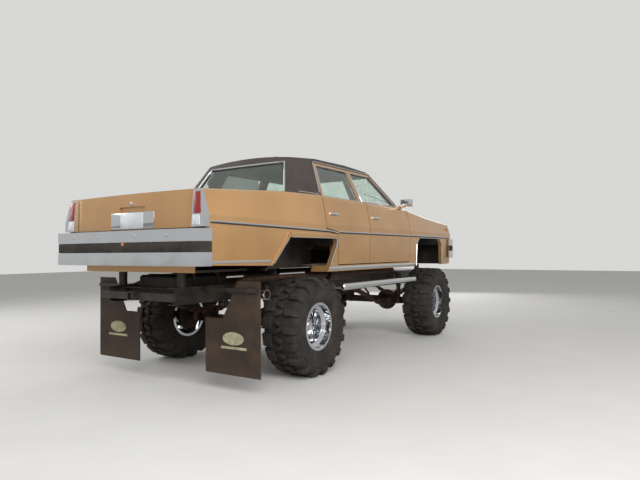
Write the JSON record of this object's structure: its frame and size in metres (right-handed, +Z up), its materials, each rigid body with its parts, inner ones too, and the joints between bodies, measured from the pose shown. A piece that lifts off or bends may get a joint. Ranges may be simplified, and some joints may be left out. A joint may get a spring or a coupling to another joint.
{
  "type": "lifted four-door sedan on a four-wheel-drive ladder chassis",
  "caption": "Full-size formal sedan body raised on a ladder frame with live axles, leaf springs, mud tyres, side steps and mud flaps; doors, hood, boot lid, wheels and steering move.",
  "frame": {"origin": "on the ground, midway between the bumpers and between the wheels", "axes": "+Z up, -Y towards the nose, +X towards the car's left side"},
  "size_m": [2.216, 5.62, 2.2998],
  "materials": {
    "body_paint": "metallic copper gold enamel",
    "vinyl_roof": "grained dark vinyl",
    "chrome": "polished",
    "lamp_lens": "gloss",
    "clear_glass": "clear",
    "tyre_rubber": "matt",
    "frame_black": "satin black",
    "axle_iron": "painted grey",
    "spring_steel": "dull",
    "flap_rubber": "matt",
    "seat_cloth": "woven",
    "dash_plastic": "grained"
  },
  "bodies": {
    "root": {"frame_rails": "frame_black", "crossmembers": "frame_black", "leaf_springs": "spring_steel", "axle_front": "axle_iron", "axle_rear": "axle_iron", "shocks": "spring_steel", "engine": "axle_iron", "gearbox": "axle_iron", "driveshafts": "spring_steel", "fuel_tank": "frame_black", "exhaust": "spring_steel", "side_steps": "chrome", "mud_flaps": "flap_rubber", "flap_arms": "frame_black", "steering_box": "frame_black", "floor_pan": "frame_black", "side_frames": "body_paint", "cowl": "body_paint", "quarters": "body_paint", "rear_shelf": "body_paint", "tail_panel": "body_paint", "roof": "vinyl_roof", "wings": "body_paint", "wheel_houses": "frame_black", "nose_panel": "body_paint", "front_support": "frame_black", "grille": "chrome", "headlamps": "chrome", "tail_lamps": "lamp_lens", "bumpers": "chrome", "fixed_glass": "clear_glass", "seat_frames": "frame_black", "seats": "seat_cloth", "dashboard": "dash_plastic"},
    "hood_lid": {"hood": "body_paint"},
    "boot_lid": {"trunk_lid": "body_paint"},
    "front_left_door": {"door_front_left": "body_paint", "glass_front_left": "clear_glass"},
    "front_right_door": {"door_front_right": "body_paint", "glass_front_right": "clear_glass"},
    "rear_left_door": {"door_rear_left": "body_paint", "glass_rear_left": "clear_glass"},
    "rear_right_door": {"door_rear_right": "body_paint", "glass_rear_right": "clear_glass"},
    "front_left_wheel": {"tyre_front_left": "tyre_rubber", "wheel_front_left": "chrome"},
    "front_right_wheel": {"tyre_front_right": "tyre_rubber", "wheel_front_right": "chrome"},
    "rear_left_wheel": {"tyre_rear_left": "tyre_rubber", "wheel_rear_left": "chrome"},
    "rear_right_wheel": {"tyre_rear_right": "tyre_rubber", "wheel_rear_right": "chrome"},
    "left_knuckle": {"knuckle_left": "axle_iron"},
    "right_knuckle": {"knuckle_right": "axle_iron"},
    "track_rod": {"tie_rod": "spring_steel"},
    "drag_rod": {"drag_link": "spring_steel"},
    "pitman": {"pitman_arm": "spring_steel"},
    "hand_wheel": {"steering_wheel": "dash_plastic"}
  },
  "joints": [
    {"name": "hood_hinge", "type": "hinge", "parent": "root", "child": "hood_lid", "pos_m": [0, -1.32, 1.72932], "axis": [-1, 0, 0], "range_deg": [0, 50]},
    {"name": "trunk_hinge", "type": "hinge", "parent": "root", "child": "boot_lid", "pos_m": [0, 1.75, 1.7587], "axis": [1, 0, 0], "range_deg": [0, 70]},
    {"name": "front_left_door_hinge", "type": "hinge", "parent": "root", "child": "front_left_door", "pos_m": [0.94, -0.97, 1.36], "axis": [0, 0, -1], "range_deg": [0, 65]},
    {"name": "front_right_door_hinge", "type": "hinge", "parent": "root", "child": "front_right_door", "pos_m": [-0.94, -0.97, 1.36], "axis": [0, 0, 1], "range_deg": [0, 65]},
    {"name": "rear_left_door_hinge", "type": "hinge", "parent": "root", "child": "rear_left_door", "pos_m": [0.94, 0.162, 1.36], "axis": [0, 0, -1], "range_deg": [0, 65]},
    {"name": "rear_right_door_hinge", "type": "hinge", "parent": "root", "child": "rear_right_door", "pos_m": [-0.94, 0.162, 1.36], "axis": [0, 0, 1], "range_deg": [0, 65]},
    {"name": "steer_left", "type": "hinge", "parent": "root", "child": "left_knuckle", "pos_m": [0.69, -1.796, 0.4825], "axis": [0, 0, 1], "range_deg": [-30, 30]},
    {"name": "steer_right", "type": "hinge", "parent": "root", "child": "right_knuckle", "pos_m": [-0.69, -1.796, 0.4825], "axis": [0, 0, 1], "range_deg": [-30, 30]},
    {"name": "pitman_swing", "type": "hinge", "parent": "root", "child": "pitman", "pos_m": [0.25, -1.966, 0.7], "axis": [0, 0, 1], "range_deg": [-30, 30]},
    {"name": "tie_rod_eye", "type": "hinge", "parent": "left_knuckle", "child": "track_rod", "pos_m": [0.69, -2.006, 0.4205], "axis": [0, 0, 1], "range_deg": [-30, 30]},
    {"name": "drag_link_eye", "type": "hinge", "parent": "pitman", "child": "drag_rod", "pos_m": [0.25, -2.126, 0.4985], "axis": [0, 0, 1], "range_deg": [-30, 30]},
    {"name": "steering_wheel_turn", "type": "hinge", "parent": "root", "child": "hand_wheel", "pos_m": [0.37, -0.705, 1.632], "axis": [0, 0.9398, 0.3417], "range_deg": [-360, 360]},
    {"name": "front_left_wheel_spin", "type": "hinge", "parent": "left_knuckle", "child": "front_left_wheel", "pos_m": [0.9, -1.796, 0.4825], "axis": [1, 0, 0], "continuous": true},
    {"name": "front_right_wheel_spin", "type": "hinge", "parent": "right_knuckle", "child": "front_right_wheel", "pos_m": [-0.9, -1.796, 0.4825], "axis": [1, 0, 0], "continuous": true},
    {"name": "rear_left_wheel_spin", "type": "hinge", "parent": "root", "child": "rear_left_wheel", "pos_m": [0.9, 1.29, 0.4825], "axis": [1, 0, 0], "continuous": true},
    {"name": "rear_right_wheel_spin", "type": "hinge", "parent": "root", "child": "rear_right_wheel", "pos_m": [-0.9, 1.29, 0.4825], "axis": [1, 0, 0], "continuous": true}
  ],
  "couplings": [
    {"joint": "steer_right", "follows": "steer_left", "ratio": 1},
    {"joint": "pitman_swing", "follows": "steer_left", "ratio": 1},
    {"joint": "tie_rod_eye", "follows": "steer_left", "ratio": -1},
    {"joint": "drag_link_eye", "follows": "steer_left", "ratio": -1},
    {"joint": "steering_wheel_turn", "follows": "steer_left", "ratio": 12}
  ]
}
